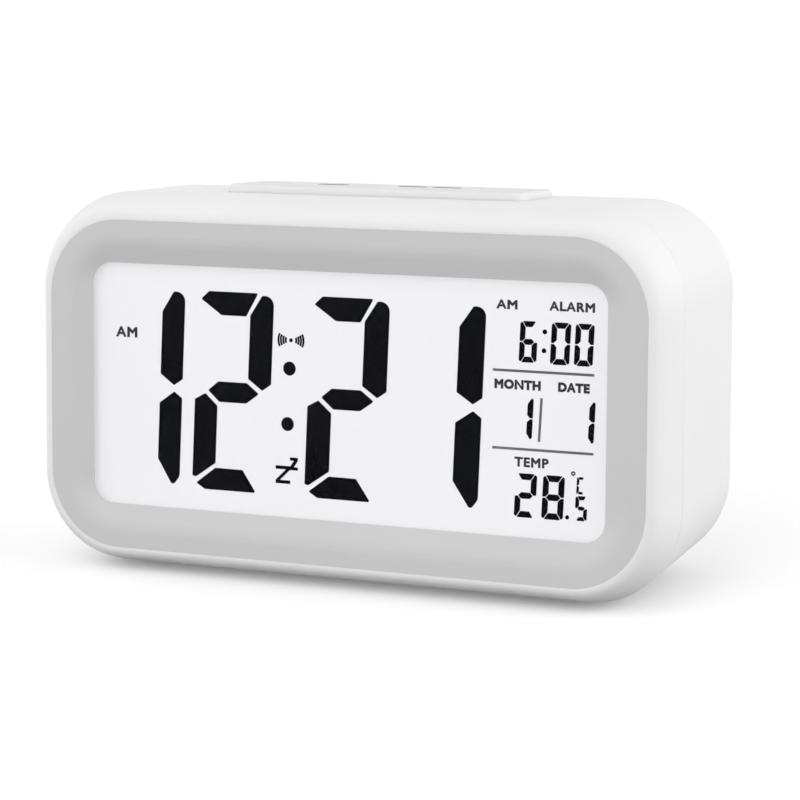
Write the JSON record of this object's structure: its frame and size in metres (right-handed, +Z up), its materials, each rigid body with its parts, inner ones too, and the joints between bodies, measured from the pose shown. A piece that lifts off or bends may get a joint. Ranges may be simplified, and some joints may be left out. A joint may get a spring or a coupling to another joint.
{
  "type": "digital alarm clock",
  "caption": "White desk alarm clock with a leaning face, wide character display in a grey bezel, snooze bar on top and buttons and battery door behind.",
  "frame": {"origin": "on the table under the middle of the clock's box", "axes": "+X to the viewer's right, +Y from the display to the back, +Z up"},
  "size_m": [0.135, 0.0482, 0.0752],
  "materials": {
    "white_shell": "fine satin moulded finish",
    "grey_bezel": "satin light grey",
    "clear_lens": "clear acrylic window",
    "lcd_glass": "pale display glass",
    "white_tray": "matt white",
    "clear_guide": "clear acrylic with white back",
    "led_resin": "clear resin",
    "board_green": "solder resist",
    "black_epoxy": "potting resin",
    "black_plastic": "matt black",
    "steel": "zinc plated",
    "contact_steel": "nickel plated spring sheet",
    "cell_can": "plain wrapped can",
    "buzzer_brass": "plain brass disc",
    "soft_rubber": "soft grey rubber",
    "ribbon_pvc": "flexible flat cable"
  },
  "bodies": {
    "case": {"front_housing": "white_shell", "rear_housing": "white_shell", "front_bezel": "grey_bezel", "display_lens": "clear_lens", "lcd_panel": "lcd_glass", "lcd_frame": "white_tray", "light_guide": "clear_guide", "backlight_leds": "led_resin", "main_pcb": "board_green", "button_pcb": "board_green", "controller_chip": "black_epoxy", "temperature_sensor": "black_epoxy", "tact_switches": "black_plastic", "snooze_switch": "black_plastic", "alarm_switch": "black_plastic", "quartz_crystal": "steel", "housing_screws": "steel", "frame_screws": "steel", "board_screws": "steel", "contacts_left": "contact_steel", "contacts_right": "contact_steel", "aaa_cell_1": "cell_can", "aaa_cell_2": "cell_can", "aaa_cell_3": "cell_can", "buzzer": "buzzer_brass", "rubber_feet": "soft_rubber", "zebra_connector": "soft_rubber", "ribbon_cable": "ribbon_pvc"},
    "snooze": {"snooze_bar": "white_shell"},
    "alarm_lever": {"alarm_slider": "black_plastic", "alarm_switch_lever": "black_plastic"},
    "door": {"battery_door": "white_shell"},
    "mode": {"mode_button": "white_shell"},
    "set": {"set_button": "white_shell"},
    "up": {"up_button": "white_shell"},
    "down": {"down_button": "white_shell"}
  },
  "joints": [
    {"name": "snooze_press", "type": "slide", "parent": "case", "child": "snooze", "axis": [0, -0.0785, -0.9969], "range_m": [0, 0.0008], "stiffness_N_per_m": 400, "springref_m": -0.001},
    {"name": "mode_press", "type": "slide", "parent": "case", "child": "mode", "axis": [0, -0.9969, 0.0785], "range_m": [0, 0.0006], "stiffness_N_per_m": 300, "springref_m": -0.0005},
    {"name": "set_press", "type": "slide", "parent": "case", "child": "set", "axis": [0, -0.9969, 0.0785], "range_m": [0, 0.0006], "stiffness_N_per_m": 300, "springref_m": -0.0005},
    {"name": "up_press", "type": "slide", "parent": "case", "child": "up", "axis": [0, -0.9969, 0.0785], "range_m": [0, 0.0006], "stiffness_N_per_m": 300, "springref_m": -0.0005},
    {"name": "down_press", "type": "slide", "parent": "case", "child": "down", "axis": [0, -0.9969, 0.0785], "range_m": [0, 0.0006], "stiffness_N_per_m": 300, "springref_m": -0.0005},
    {"name": "alarm_slide", "type": "slide", "parent": "case", "child": "alarm_lever", "axis": [-1, 0, 0], "range_m": [0, 0.004]},
    {"name": "door_tip", "type": "hinge", "parent": "case", "child": "door", "pos_m": [0, 0.01872, 0.01115], "axis": [-1, 0, 0], "range_deg": [0, 75]}
  ]
}
